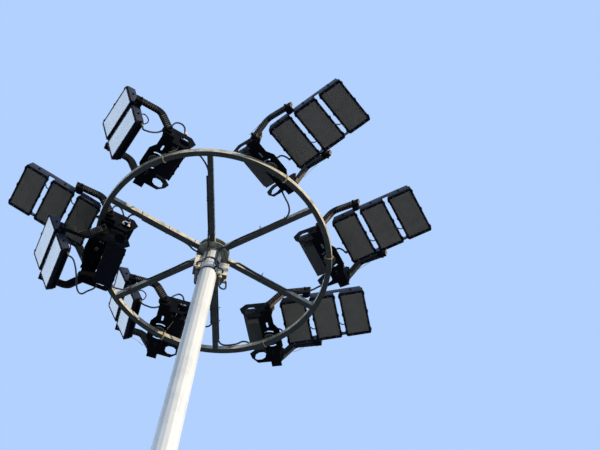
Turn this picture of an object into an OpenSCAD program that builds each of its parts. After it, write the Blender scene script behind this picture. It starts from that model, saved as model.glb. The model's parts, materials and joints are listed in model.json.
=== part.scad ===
/* [Pole] */
// Height of the ring's mid plane above the underside of the base flange
ring_z = 21000; // [15000:100:24000]
// Width across the flats of the pole at the hub
pole_top_w = 157; // [140:1:190]
// Growth of the pole's width for each metre down
pole_taper = 19; // [14:0.5:22]
// Wall thickness of the pole sections
pole_wall = 6; // [4:0.5:9]
// Number of flat sides of the pole
pole_sides = 16; // [14:1:20]
// Height of the lower end of the upper section
joint_z = 9600; // [7000:100:12000]
// Length over which the upper section slips over the lower one
joint_lap = 900; // [600:50:1200]
// Gap between the two sections in the slip joint
joint_gap = 0.5; // [0.3:0.1:1.5]

/* [Base] */
// Diameter of the base flange
flange_d = 860; // [820:10:1000]
// Thickness of the base flange
flange_t = 35; // [25:1:50]
// Diameter of the circle of anchor bolt holes
anchor_pcd = 740; // [720:5:780]
// Diameter of an anchor bolt hole
anchor_hole_d = 36; // [26:1:42]
// Number of anchor bolt holes, and of gussets between them
anchor_count = 12; // [8:1:14]
// Diameter of the cable opening in the flange
cable_hole_d = 300; // [200:5:380]
// Height of a gusset
gusset_h = 260; // [150:10:400]
// Thickness of a gusset
gusset_t = 15; // [10:1:22]
// Height of the service opening's lower edge
hatch_z = 700; // [500:10:1200]
// Height of the service opening
hatch_h = 500; // [350:10:700]
// Width of the service opening
hatch_w = 80; // [60:1:90]
// Overlap of the service cover round the opening
hatch_lap = 12; // [8:1:18]
// Thickness of the service cover
hatch_t = 5; // [3:0.5:8]

/* [Ring and hub] */
// Radius of the ring to the middle of its tube
ring_r = 1075; // [1000:5:1250]
// Outer width of the square tube of the ring and spokes
tube_w = 50; // [40:1:60]
// Wall thickness of that tube
tube_wall = 3; // [2:0.5:5]
// Number of spokes
spoke_count = 6; // [6:1:6]
// Direction of the first spoke
spoke_turn = 20.3; // [15:0.1:25]
// Gap left between two faces that seat on each other
seat_gap = 0.1; // [0.05:0.05:0.3]
// Diameter of the hub's discs
hub_d = 298; // [260:1:340]
// Thickness of the hub's discs
hub_t = 12; // [8:1:16]
// Diameter of the drum between the discs
drum_d = 120; // [90:1:140]
// Length of the spigot inside the top of the pole
spigot_l = 140; // [80:5:200]
// Gap between the spigot and the pole's inside
spigot_gap = 2; // [1:0.5:4]
// Width of a junction box, across the pole
jbox_w = 95; // [80:1:120]
// Depth of the left junction box, away from the pole
left_jbox_d = 60; // [50:1:80]
// Depth of the right junction box, away from the pole
right_jbox_d = 90; // [70:1:110]
// Height of a junction box
jbox_h = 190; // [150:1:230]
// Height of the left junction box's top below the ring plane
left_jbox_drop = 145; // [120:1:170]
// Height of the right junction box's top below the ring plane
right_jbox_drop = 195; // [170:1:220]

/* [Feed cables] */
// Diameter of a feed cable
cable_d = 10; // [8:0.5:12]
// Height of a feed cable's middle above the spoke's underside
cable_rise = 12; // [6:1:20]
// Distance from the pole's axis at which a cable starts to dip under the hub
cable_dip_r = 230; // [225:5:260]
// Gap between the hub's lower disc and the cables that pass under it
cable_dip_gap = 3; // [1:0.5:6]
// Distance from a corner of its route at which a cable starts to bend
cable_bend = 30; // [20:1:30]
// Distance from the pole at which the side cables enter a box
cable_turn = 30; // [20:1:40]
// Height at which the side cables enter a box, above its underside
cable_entry = 25; // [15:1:60]
// Height of the upper strap's middle below the ring plane
upper_strap_drop = 192; // [180:2:205]
// Height of the lower strap's middle below the ring plane
lower_strap_drop = 352; // [335:5:370]
// Height of a strap
strap_h = 20; // [12:1:26]
// Thickness of a strap
strap_t = 2.5; // [1.5:0.5:4]

/* [Floodlight bracket] */
// Diameter of the round pad under each bracket
pad_d = 110; // [90:1:130]
// Thickness of that pad
pad_t = 10; // [6:1:14]
// Diameter of the pan bolt
pan_bolt_d = 20; // [16:1:24]
// Gap round the pan bolt in the bracket
pan_bolt_gap = 0.3; // [0.2:0.1:1]
// Thickness of the bracket's base plate
plate_t = 8; // [6:0.5:12]
// Half length of the bracket, to the outside of its end plates
bracket_half = 260; // [250:1:290]
// Thickness of an end plate
end_t = 8; // [6:0.5:12]
// Outer edge of the base plate beside its middle
plate_out = 62; // [50:1:66]
// Outer edge of the base plate's middle
plate_bulge = 104; // [90:1:115]
// Half width of that middle
bulge_half = 94; // [85:1:100]
// Inner edge of the base plate
plate_in = 70; // [60:1:80]
// Distance from the pan bolt at which the middle's slanted flanks end
shoulder_y = 160; // [150:1:175]
// Length of a tab on the base plate beyond an end plate
tab_l = 56; // [45:1:60]
// Outer edge of that tab
tab_out = 55; // [45:1:62]
// Inner edge of that tab
tab_in = 41; // [30:1:50]
// Inner edge of the end plates
end_in = 265; // [255:1:275]
// Height of the end plates above the underside of the base plate
end_h = 232; // [222:1:240]
// Run of the end plates' lower inner chamfer
end_foot = 100; // [90:1:110]
// Height of the end plates' lower inner chamfer
end_knee = 90; // [80:1:100]
// Run of the end plates' upper inner chamfer
end_brow = 50; // [40:1:60]
// Height of the end plates' upper inner chamfer
end_temple = 68; // [55:1:80]
// Chamfer on the outer top corner of the end plates
end_nose = 30; // [20:1:40]
// Distance of the hand window's middle inward from the pan bolt
window_u = 155; // [150:1:160]
// Height of the hand window's middle above the base plate's underside
window_z = 110; // [104:1:116]
// Width of the hand window
window_w = 100; // [80:1:105]
// Height of the hand window
window_h = 128; // [100:1:134]
// Chamfer of the hand window's corners
window_cut = 28; // [15:1:32]
// Radius of the arc slots about the pan bolt
arc_r = 83; // [78:1:88]
// Width of an arc slot
arc_w = 15; // [12:1:18]
// Half of the angle over which an arc slot runs
arc_half = 31; // [15:1:35]
// Distance of a long hole's middle from the pan bolt
hole_y = 155; // [150:1:165]
// Length of a long hole
hole_l = 58; // [40:1:64]
// Width of a long hole
hole_w = 18; // [12:1:22]

/* [Arms] */
// Depth of an arm's section, in the plane of its bend
arm_w = 74; // [66:1:84]
// Thickness of an arm
arm_t = 32; // [26:1:40]
// Thickness of the spacer disc between an arm and its end plate
disc_t = 22; // [14:1:30]
// Diameter of that disc
disc_d = 120; // [100:1:140]
// Distance of an arm's foot outward from the pan bolt
foot_u = 21; // [15:1:27]
// Radius of an arm's bend, to the middle of its section
bend_r = 80; // [60:1:95]
// Height of an arm's foot above the underside of the base plate
foot_rise = 105; // [95:1:115]
// Distance of an arm's bend outward from the pan bolt
bend_u = 143; // [135:1:150]
// Distance of the tilt pivot outward from the pan bolt
pivot_u = 360; // [350:1:370]
// Height of the tilt pivot above the underside of the base plate
pivot_rise = 312; // [300:1:325]
// Length of an arm beyond the pivot
arm_past = 50; // [45:1:60]
// Diameter of the tilt boss between an arm and the head
boss_d = 70; // [56:1:80]
// Gap between the boss and the arm
boss_gap = 0.3; // [0.2:0.1:1]

/* [Driver box] */
// Half length of the driver box's tray
box_half = 219; // [200:1:232]
// Inner side of that tray
box_in = 248; // [230:1:252]
// Outer side of the driver box
box_out = 66; // [56:1:76]
// Underside of the driver box above the underside of the base plate
box_rise = 61; // [52:1:64]
// Height of the whole driver box
box_h = 154; // [140:1:158]
// Half length of the body under the tray
body_half = 155; // [140:1:175]
// Inner side of that body
body_in = 208; // [190:1:225]
// Height of that body, up to the tray
body_h = 104; // [90:1:115]
// Width of the ears that hold the tray to the end plates
ear_w = 46; // [40:1:60]

/* [Module] */
// Length of a module along the tilt axis
mod_l = 472; // [460:1:480]
// Width of a module
mod_w = 238; // [228:1:246]
// Distance between the middles of neighbouring modules
mod_pitch = 280; // [270:1:290]
// Depth of the module's front frame
frame_h = 25; // [20:1:32]
// Depth of a whole module
mod_h = 98; // [88:1:105]
// Distance of the lens plane below the tilt pivot
lens_drop = 64; // [60:1:70]
// Length of a lens
lens_l = 439; // [425:1:448]
// Width of a lens
lens_w = 203; // [196:1:210]
// Thickness of a lens
lens_t = 4; // [3:0.5:6]
// Gap round a lens in its frame
lens_gap = 0.5; // [0.3:0.1:1]
// Inset of the heat sink behind the front frame
sink_in = 10; // [6:1:16]
// Inset of an end rail's foot from the module's long sides
rail_inset = 8; // [4:1:12]
// Inset of an end rail's top from the module's long sides
rail_taper = 30; // [24:1:40]
// Height of an end rail above the lens plane
rail_h = 82; // [70:1:88]
// Height of an end rail's foot above the lens plane
rail_foot = 6; // [3:1:10]
// Depth of the bar that joins the end rails
link_h = 40; // [30:1:50]
// Thickness of an end rail
rail_t = 10; // [6:0.5:12]

/* [Hidden] */

// Each floodlight: its place round the ring, its aim, its tilt, its modules, 1 above or -1 below
LIGHTS = [
    [231.4, 201, 68.7, 2, 1],
    [170.6, 196.1, 12, 3, 1],
    [171.1, 191.6, 65.6, 2, -1],
    [110.5, 185.2, 64, 2, 1],
    [-69.2, -46.2, 12.5, 3, 1],
    [-8.4, -35.3, 8.7, 3, 1],
    [51.6, -19.9, 6.1, 3, 1]];

// Each feed cable: its spoke, the side of the spoke, its junction box, the lift of its entry,
// and how far inside the ring's middle line it leaves the spoke
CABLES = [
    [0, -1, 1, 0, 325],
    [1, -1, 1, 0, 130],
    [1, 1, -1, 0, 314],
    [2, -1, -1, 50, 192],
    [3, -1, -1, 0, 345],
    [4, -1, -1, 0, 240],
    [5, -1, 1, 0, 321]];

galvanised = "#b9bcb4";
black = "#15161b";
rail_grey = "#4b4e5a";
lens_grey = "#413f3a";
cream = "#f2e6c6";

round_fn = 48;
tube_half = tube_w / 2;
hub_base_z = ring_z - tube_half - seat_gap - hub_t;
mount_z = tube_half + pad_t + 2 * seat_gap;
foot_z = mount_z + foot_rise;
pivot_z = mount_z + pivot_rise;
pole_foot_z = flange_t;
bend_steps = 6;
cable_sides = 8;

// Width of the pole at a height
function pole_w(z) = pole_top_w + pole_taper * (hub_base_z - z) / 1000;

// Radius to the corners of a regular polygon of a width across its flats
function corner_r(w) = w / 2 / cos(180 / pole_sides);

// A tapered prism of the pole's form, from one height to another
module pole_prism(z0, z1, grow) {
    w0 = pole_w(z0) + 2 * grow;
    w1 = pole_w(z1) + 2 * grow;
    translate([0, 0, z0])
        linear_extrude(height = z1 - z0, scale = w1 / w0)
            rotate(180 / pole_sides)
                circle(r = corner_r(w0), $fn = pole_sides);
}

module base_flange() {
    color(galvanised)
        difference() {
            cylinder(d = flange_d, h = flange_t, $fn = 96);
            translate([0, 0, -1])
                cylinder(d = cable_hole_d, h = flange_t + 2, $fn = 72);
            for (k = [0 : anchor_count - 1])
                rotate(k * 360 / anchor_count)
                    translate([anchor_pcd / 2, 0, -1])
                        cylinder(d = anchor_hole_d, h = flange_t + 2, $fn = round_fn);
        }
}

// The gussets' inner edges follow the slope of the pole's flats
module base_gussets() {
    inset = pole_wall + joint_gap - gusset_t / 2 * tan(180 / pole_sides);
    foot = pole_w(pole_foot_z) / 2 - inset;
    head = pole_w(pole_foot_z + gusset_h) / 2 - inset;
    tip = 2 * gusset_t;
    reach = flange_d / 2 - gusset_t;
    color(galvanised)
        for (k = [0 : anchor_count - 1])
            rotate((k + 0.5) * 360 / anchor_count)
                translate([0, gusset_t / 2, flange_t])
                    rotate([90, 0, 0])
                        linear_extrude(gusset_t)
                            polygon([[gusset_foot_r(k, foot), 0], [reach, 0], [reach, tip],
                                [gusset_foot_r(k, head) + tip, gusset_h],
                                [gusset_foot_r(k, head), gusset_h]]);
}

// Distance of the pole's surface along a gusset's middle line
function gusset_foot_r(k, flat_r) =
    let (turn = (k + 0.5) * 360 / anchor_count,
        step = 360 / pole_sides,
        off = turn - step * round(turn / step))
    flat_r / cos(off);

module pole_lower() {
    color(galvanised)
        difference() {
            pole_prism(pole_foot_z, joint_z + joint_lap, -pole_wall - joint_gap);
            pole_prism(pole_foot_z - 1, joint_z + joint_lap + 1, -2 * pole_wall - joint_gap);
            translate([-hatch_w / 2, -pole_w(hatch_z), hatch_z])
                cube([hatch_w, pole_w(hatch_z), hatch_h]);
        }
}

module service_cover() {
    slope = atan(pole_taper / 2000);
    face = pole_w(hatch_z - hatch_lap) / 2 - pole_wall - joint_gap;
    color(galvanised)
        translate([0, -face, hatch_z - hatch_lap])
            rotate([-slope, 0, 0])
                translate([-hatch_w / 2 - hatch_lap, -hatch_t, 0])
                    cube([hatch_w + 2 * hatch_lap, hatch_t, hatch_h + 2 * hatch_lap]);
}

module pole_upper() {
    color(galvanised)
        difference() {
            pole_prism(joint_z, hub_base_z, 0);
            pole_prism(joint_z - 1, hub_base_z + 1, -pole_wall);
        }
}

module hub() {
    spigot_d = pole_w(hub_base_z) - 2 * pole_wall - 2 * spigot_gap;
    color(rail_grey)
        union() {
            translate([0, 0, hub_base_z])
                cylinder(d = hub_d, h = hub_t, $fn = 72);
            translate([0, 0, ring_z - tube_half - seat_gap])
                cylinder(d = drum_d, h = tube_w + 2 * seat_gap, $fn = round_fn);
            translate([0, 0, ring_z + tube_half + seat_gap])
                cylinder(d = hub_d, h = hub_t, $fn = 72);
            translate([0, 0, hub_base_z - spigot_l])
                cylinder(d = spigot_d, h = spigot_l, $fn = round_fn);
        }
}

module spokes() {
    reach = ring_r - tube_half - seat_gap;
    color(galvanised)
        for (k = [0 : spoke_count - 1])
            rotate(spoke_turn + k * 360 / spoke_count)
                translate([0, 0, ring_z - tube_half])
                    intersection() {
                        difference() {
                            translate([0, -tube_half, 0])
                                cube([ring_r, tube_w, tube_w]);
                            translate([-1, -tube_half + tube_wall, tube_wall])
                                cube([ring_r + 2, tube_w - 2 * tube_wall, tube_w - 2 * tube_wall]);
                            translate([0, 0, -1])
                                cylinder(d = drum_d + 2 * seat_gap, h = tube_w + 2, $fn = round_fn);
                        }
                        translate([0, 0, -1])
                            cylinder(r = reach, h = tube_w + 2, $fn = 180);
                    }
}

module ring() {
    color(galvanised)
        translate([0, 0, ring_z])
            rotate_extrude($fn = 180)
                translate([ring_r, 0])
                    difference() {
                        square(tube_w, center = true);
                        square(tube_w - 2 * tube_wall, center = true);
                    }
}

// A pad with the pan bolt and its nut, standing on the ring or hanging under it
module pad(side) {
    nut_z = pad_t + seat_gap + plate_t + pan_bolt_gap;
    nut_h = 0.9 * pan_bolt_d;
    mirror([0, 0, side < 0 ? 1 : 0])
        translate([0, 0, tube_half + seat_gap])
            union() {
                cylinder(d = pad_d, h = pad_t, $fn = round_fn);
                cylinder(d = pan_bolt_d, h = nut_z + 1.4 * nut_h, $fn = round_fn);
                translate([0, 0, nut_z])
                    cylinder(d = 1.9 * pan_bolt_d, h = nut_h, $fn = 6);
            }
}

module ring_pads() {
    color(galvanised)
        for (light = LIGHTS)
            rotate(light[0])
                translate([ring_r, 0, ring_z])
                    pad(light[4]);
}

// One junction box, its back against the pole on the given side
module junction_box(side, depth, drop) {
    top = ring_z - drop;
    translate([side * (pole_w(top - jbox_h) / 2 + depth / 2), 0, top - jbox_h / 2])
        cube([depth, jbox_w, jbox_h], center = true);
}

module junction_boxes() {
    color(cream) {
        junction_box(-1, left_jbox_d, left_jbox_drop);
        junction_box(1, right_jbox_d, right_jbox_drop);
    }
}

// The two straps round the pole, between the junction boxes
module pole_straps() {
    color(black)
        for (drop = [upper_strap_drop, lower_strap_drop])
            difference() {
                pole_prism(ring_z - drop - strap_h / 2, ring_z - drop + strap_h / 2,
                    seat_gap + strap_t);
                pole_prism(ring_z - drop - strap_h, ring_z - drop + strap_h, seat_gap);
                for (side = [-1, 1])
                    junction_space(side);
            }
}

// The room that a junction box takes beside the pole, which the straps leave free
module junction_space(side) {
    depth = side < 0 ? left_jbox_d : right_jbox_d;
    drop = side < 0 ? left_jbox_drop : right_jbox_drop;
    translate([side * depth, 0, ring_z - drop - jbox_h / 2])
        cube([2 * depth, jbox_w + 2 * seat_gap, jbox_h + 2 * seat_gap], center = true);
}

function unit(v) = v / norm(v);

// A corner of a route, rounded from a distance before it to the same distance past it
function rounded_corner(before, here, after) =
    let (from = here + cable_bend * unit(before - here),
        to = here + cable_bend * unit(after - here))
    [for (i = [0 : bend_steps])
        let (t = i / bend_steps)
        (1 - t) * (1 - t) * from + 2 * t * (1 - t) * here + t * t * to];

// A route with all its corners rounded
function rounded_route(route) =
    let (last = len(route) - 1)
    concat([route[0]],
        [for (i = [1 : last - 1]) each rounded_corner(route[i - 1], route[i], route[i + 1])],
        [route[last]]);

// The way a path runs at each of its points
function path_ways(path) =
    let (last = len(path) - 1)
    [for (i = [0 : last]) unit(path[min(i + 1, last)] - path[max(i - 1, 0)])];

// At each point a vector square to the way, each made from the one before it
function path_sides(ways, i, before) =
    i == len(ways) ? [] :
    let (side = unit(before - (before * ways[i]) * ways[i]))
    concat([side], path_sides(ways, i + 1, side));

// A round cable swept along a path as one closed polyhedron
module swept_cable(path) {
    ways = path_ways(path);
    sides = path_sides(ways, 0, [0, 0, 1]);
    n = cable_sides;
    last = len(path) - 1;
    points = [for (i = [0 : last], j = [0 : n - 1])
        let (turn = (j + 0.5) * 360 / n, over = cross(ways[i], sides[i]))
        path[i] + cable_d / 2 * (cos(turn) * sides[i] + sin(turn) * over)];
    faces = concat(
        [[for (j = [0 : n - 1]) j]],
        [[for (j = [n - 1 : -1 : 0]) last * n + j]],
        [for (i = [0 : last - 1], j = [0 : n - 1])
            each [[i * n + j, (i + 1) * n + (j + 1) % n, i * n + (j + 1) % n],
                [i * n + j, (i + 1) * n + j, (i + 1) * n + (j + 1) % n]]]);
    polyhedron(points = points, faces = faces);
}

// A place beside a spoke, clockwise of it where flank is -1, at a distance from the pole's axis
function beside_spoke(turn, flank, r, z) =
    let (off = flank * (tube_half + seat_gap + cable_d / 2))
    [r * cos(turn) - off * sin(turn), r * sin(turn) + off * cos(turn), z];

// The route of a cable: in along its spoke, under the hub, down to its junction box
function cable_route(cable) =
    let (turn = spoke_turn + cable[0] * 360 / spoke_count,
        flank = cable[1],
        side = cable[2],
        level = ring_z - tube_half + cable_rise,
        dip = hub_base_z - cable_dip_gap - cable_d / 2,
        box_top = ring_z - (side < 0 ? left_jbox_drop : right_jbox_drop),
        entry_z = box_top - jbox_h + cable_entry + cable[3],
        pole_r = corner_r(pole_w(entry_z - cable_turn)) + 3 * seat_gap + strap_t + cable_d / 2,
        down = beside_spoke(turn, flank, pole_r, dip),
        start = [beside_spoke(turn, flank, ring_r - cable[4], level),
            beside_spoke(turn, flank, cable_dip_r, level),
            beside_spoke(turn, flank, cable_dip_r - 2 * cable_bend, dip), down],
        above_box = abs(down[1]) < jbox_w / 2,
        front = down[1] < 0 ? -1 : 1,
        entry_x = side * (corner_r(pole_w(entry_z)) + cable_turn),
        entry_y = front * (jbox_w / 2 + seat_gap),
        turn_y = entry_y + front * 1.2 * cable_bend)
    above_box
        ? concat(start, [[down[0], down[1], box_top + seat_gap]])
        : concat(start, [[down[0], down[1], entry_z + 2 * cable_bend],
            [entry_x, turn_y, entry_z], [entry_x, entry_y, entry_z]]);

module feed_cables() {
    color(black)
        for (cable = CABLES)
            swept_cable(rounded_route(cable_route(cable)));
}

// Places a light's own frame: x points where it aims, z up, the origin on the ring's mid plane
module at_light(k) {
    light = LIGHTS[k - 1];
    translate([ring_r * cos(light[0]), ring_r * sin(light[0]), ring_z])
        rotate(light[1])
            children();
}

// As at_light, turned over for a light that hangs under the ring
module at_bracket(k) {
    at_light(k)
        mirror([0, 0, LIGHTS[k - 1][4] < 0 ? 1 : 0])
            children();
}

// Places a head's own frame: the tilt pivot is its origin, x runs outward along the modules
module at_head(k) {
    light = LIGHTS[k - 1];
    at_light(k)
        translate([pivot_u, 0, light[4] * pivot_z])
            rotate([0, -light[2], 0])
                children();
}

// One arc slot in the plan of the base plate, centred on the y axis
module arc_slot() {
    reach = 2 * arc_r;
    intersection() {
        difference() {
            circle(r = arc_r + arc_w / 2, $fn = 96);
            circle(r = arc_r - arc_w / 2, $fn = 96);
        }
        polygon([[0, 0], [-reach * tan(arc_half), reach], [reach * tan(arc_half), reach]]);
    }
}

// One long hole in the plan of the base plate, along y
module long_hole() {
    translate([-hole_w / 2, hole_y - hole_l / 2 + hole_w / 2])
        square([hole_w, hole_l - hole_w]);
    for (side = [-1, 1])
        translate([0, hole_y + side * (hole_l - hole_w) / 2])
            circle(d = hole_w, $fn = round_fn);
}

// Half of the base plate's plan, on the side where y is positive
module plate_half_outline() {
    inside = bracket_half - end_t / 2;
    polygon([[plate_bulge, 0], [plate_bulge, bulge_half], [plate_out, shoulder_y],
        [plate_out, inside], [tab_out, inside], [tab_out, bracket_half + tab_l],
        [-tab_in, bracket_half + tab_l], [-tab_in, inside], [-plate_in, inside],
        [-plate_in, 0]]);
}

module plate_outline() {
    difference() {
        union() {
            plate_half_outline();
            mirror([0, 1])
                plate_half_outline();
        }
        circle(d = pan_bolt_d + 2 * pan_bolt_gap, $fn = round_fn);
        for (side = [-1, 1])
            mirror([0, side < 0 ? 1 : 0]) {
                arc_slot();
                long_hole();
            }
    }
}

// An end plate's side view with its hand window
module end_outline() {
    half_w = window_w / 2;
    half_h = window_h / 2;
    difference() {
        polygon([[plate_out, 0], [end_foot - end_in, 0], [window_cut - end_in, end_knee],
            [-end_in, end_h - end_temple], [end_brow - end_in, end_h],
            [plate_out - end_nose, end_h], [plate_out, end_h - end_nose]]);
        translate([-window_u, window_z])
            polygon([[half_w, half_h - window_cut], [half_w - window_cut, half_h],
                [window_cut - half_w, half_h], [-half_w, half_h - window_cut],
                [-half_w, window_cut - half_h], [window_cut - half_w, -half_h],
                [half_w - window_cut, -half_h], [half_w, window_cut - half_h]]);
    }
}

module bracket(k) {
    color(black)
        at_bracket(k)
            translate([0, 0, mount_z])
                union() {
                    linear_extrude(plate_t)
                        plate_outline();
                    for (side = [-1, 1])
                        translate([0, side * (bracket_half - end_t / 2) + end_t / 2, 0])
                            rotate([90, 0, 0])
                                linear_extrude(end_t)
                                    end_outline();
                }
}

// A body with a wider tray on top, whose ears reach the bracket's end plates
module driver_box(k) {
    tray_h = box_h - body_h;
    ear_l = bracket_half - end_t - box_half;
    color(black)
        at_bracket(k)
            translate([0, 0, mount_z + box_rise])
                union() {
                    translate([-body_in, -body_half, 0])
                        cube([body_in - box_out, 2 * body_half, body_h]);
                    translate([-box_in, -box_half, body_h])
                        cube([box_in - box_out, 2 * box_half, tray_h]);
                    for (side = [-1, 1])
                        translate([-box_out - ear_w, side * (box_half + ear_l / 2) - ear_l / 2,
                            body_h])
                            cube([ear_w, ear_l, tray_h]);
                }
}

// Points along an arc about a centre, from one angle to another
function arc(centre, r, from, to) =
    let (steps = ceil(abs(to - from) / 6))
    [for (i = [0 : steps])
        let (turn = from + (to - from) * i / steps)
        centre + r * [cos(turn), sin(turn)]];

// An arm's side view: round foot, sloping shank, bend and straight reach
module arm_outline() {
    half = arm_w / 2;
    foot = [foot_u, foot_z];
    slope = atan2(pivot_z - foot_z, bend_u - foot_u);
    bend = [bend_u + bend_r * tan(slope / 2), pivot_z - bend_r];
    end_u = pivot_u + arm_past;
    polygon(concat(
        [[end_u, pivot_z + half], [end_u, pivot_z - half]],
        arc(bend, bend_r - half, 90, 90 + slope),
        arc(foot, half, slope - 90, slope - 270),
        arc(bend, bend_r + half, 90 + slope, 90)));
}

module arms(k) {
    inner = bracket_half + disc_t;
    color(black)
        at_bracket(k)
            for (side = [-1, 1])
                mirror([0, side < 0 ? 1 : 0, 0])
                    union() {
                        translate([0, inner + arm_t, 0])
                            rotate([90, 0, 0])
                                linear_extrude(arm_t)
                                    arm_outline();
                        translate([foot_u, inner, foot_z])
                            rotate([90, 0, 0])
                                cylinder(d = disc_d, h = disc_t, $fn = round_fn);
                    }
}

// The middle of module m of a light, along the head
function mod_s(m) = (m - 0.5) * mod_pitch;

// The end rails of a head's modules in side view, and the bar that joins them
module rail_outline(count) {
    foot = mod_w / 2 - rail_inset;
    top = mod_w / 2 - rail_taper;
    for (m = [0 : count - 1])
        translate([mod_s(m), -lens_drop])
            polygon([[-foot, rail_foot], [foot, rail_foot], [top, rail_h], [-top, rail_h]]);
    translate([mod_s(0), -link_h / 2])
        square([mod_s(count - 1) - mod_s(0), link_h]);
}

module rails(k) {
    count = LIGHTS[k - 1][3];
    half = mod_l / 2;
    boss_l = bracket_half + disc_t - boss_gap - half;
    color(rail_grey)
        at_head(k)
            for (side = [-1, 1])
                mirror([0, side < 0 ? 1 : 0, 0])
                    union() {
                        translate([0, half + rail_t, 0])
                            rotate([90, 0, 0])
                                linear_extrude(rail_t)
                                    rail_outline(count);
                        translate([0, half + boss_l, 0])
                            rotate([90, 0, 0])
                                cylinder(d = boss_d, h = boss_l, $fn = round_fn);
                    }
}

module modules(k) {
    count = LIGHTS[k - 1][3];
    color(black)
        at_head(k)
            for (m = [0 : count - 1])
                translate([mod_s(m), 0, -lens_drop])
                    difference() {
                        union() {
                            translate([-mod_w / 2, -mod_l / 2, 0])
                                cube([mod_w, mod_l, frame_h]);
                            translate([sink_in - mod_w / 2, sink_in - mod_l / 2, frame_h])
                                cube([mod_w - 2 * sink_in, mod_l - 2 * sink_in, mod_h - frame_h]);
                        }
                        translate([-lens_w / 2 - lens_gap, -lens_l / 2 - lens_gap, -1])
                            cube([lens_w + 2 * lens_gap, lens_l + 2 * lens_gap, lens_t + 1]);
                    }
}

module lenses(k) {
    count = LIGHTS[k - 1][3];
    color(lens_grey)
        at_head(k)
            for (m = [0 : count - 1])
                translate([mod_s(m) - lens_w / 2, -lens_l / 2, -lens_drop])
                    cube([lens_w, lens_l, lens_t]);
}

base_flange();
base_gussets();
pole_lower();
service_cover();
pole_upper();
hub();
spokes();
ring();
ring_pads();
junction_boxes();
pole_straps();
feed_cables();
for (k = [1 : len(LIGHTS)]) {
    bracket(k);
    driver_box(k);
    arms(k);
    rails(k);
    modules(k);
    lenses(k);
}
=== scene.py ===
"""Dresses the floodlight pylon: its finishes, lamp housings, fittings and cables."""
import json
import math

import bmesh
import bpy
from mathutils import Matrix, Vector


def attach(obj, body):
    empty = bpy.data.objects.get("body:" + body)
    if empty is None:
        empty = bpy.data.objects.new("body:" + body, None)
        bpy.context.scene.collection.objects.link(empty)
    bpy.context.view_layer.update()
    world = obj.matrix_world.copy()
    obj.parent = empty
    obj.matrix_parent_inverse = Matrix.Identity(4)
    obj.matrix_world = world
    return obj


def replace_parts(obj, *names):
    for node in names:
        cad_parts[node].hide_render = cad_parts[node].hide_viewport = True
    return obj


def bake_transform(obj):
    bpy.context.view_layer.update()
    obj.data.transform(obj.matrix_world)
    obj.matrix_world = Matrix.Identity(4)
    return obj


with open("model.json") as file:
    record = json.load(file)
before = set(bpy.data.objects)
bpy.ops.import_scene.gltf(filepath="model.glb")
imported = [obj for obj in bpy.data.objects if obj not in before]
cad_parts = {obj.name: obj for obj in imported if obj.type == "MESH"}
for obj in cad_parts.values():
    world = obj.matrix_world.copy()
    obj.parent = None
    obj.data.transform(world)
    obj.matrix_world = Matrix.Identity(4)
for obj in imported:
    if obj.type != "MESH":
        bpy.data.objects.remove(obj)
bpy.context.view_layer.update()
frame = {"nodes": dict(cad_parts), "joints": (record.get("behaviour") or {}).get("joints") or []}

MM = 0.001
NODES = frame["nodes"]
JOINTS = {joint["name"]: joint for joint in frame["joints"]}
LIGHT_COUNT = sum(name.startswith("pan_") for name in JOINTS)

# Module sizes in millimetres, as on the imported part
PITCH = 280
MODULE_W = 238
MODULE_L = 472
MODULE_H = 98
FRAME_H = 25
LENS_W = 203
LENS_L = 439
LENS_DROP = 64
RECESS = 14
RAIL_T = 10

# Bracket and arm sizes in millimetres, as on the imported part
PLATE_Z = 35.2
END_FACE = 260
ARM_IN = 282
ARM_OUT = 314
ARM_W = 74
FOOT_U = 21
FOOT_Z = 140.2
BEND_U = 143
PIVOT_Z = 347.2
BOX_OUT = 66
BODY_HALF = 155
BODY_IN = 208
BODY_Z = 96.2
TRAY_HALF = 219
TRAY_IN = 248
TRAY_Z = 200.2
TRAY_TOP = 250.2
EAR_IN = 112

# Ring and spoke sizes in millimetres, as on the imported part; the first spoke's angle in degrees
RING_R = 1075
TUBE_HALF = 25
SPOKE_TURN = 20.3
SPOKE_STEP = 60

# Each junction box: its left and right sides from the pole's axis, its foot and top from the ring
LEFT_BOX = (-143, -83, -335, -145)
RIGHT_BOX = (83, 173, -385, -195)
BOX_DEPTH = 95

# The floor under the mast, in metres: its radius and how far it lies below the flange
FLOOR_R = 30
FLOOR_DROP = 0.002


def linear(hex_colour):
    """A hex sRGB colour as the linear values that nodes and lamps take."""
    channels = [int(hex_colour[i:i + 2], 16) / 255 for i in (1, 3, 5)]
    values = [c / 12.92 if c <= 0.04045 else ((c + 0.055) / 1.055) ** 2.4 for c in channels]
    return (*values, 1.0)


# Sockets that share a name with others on their node, by their place
FACTOR = 0
FIRST_VALUE, SECOND_VALUE = 0, 1
FIRST_SHADER, SECOND_SHADER = 1, 2
FIRST_COLOUR, SECOND_COLOUR, MIXED_COLOUR = 6, 7, 2

# A noise's scale is this over the size of its features in millimetres
PER_METRE = 1000
# How fine and how rough a noise is, from blunt to ragged
BLUNT = {"Detail": 2.0, "Roughness": 0.55}
COARSE = {"Detail": 3.0, "Roughness": 0.55}
EVEN = {"Detail": 4.0, "Roughness": 0.55}
RAGGED = {"Detail": 6.0, "Roughness": 0.65}
# The part of a noise that is spread out: all but its ends, or its upper half
MOST = {"From Min": 0.3, "From Max": 0.7}
UPPER = {"From Min": 0.4, "From Max": 0.7}


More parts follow.
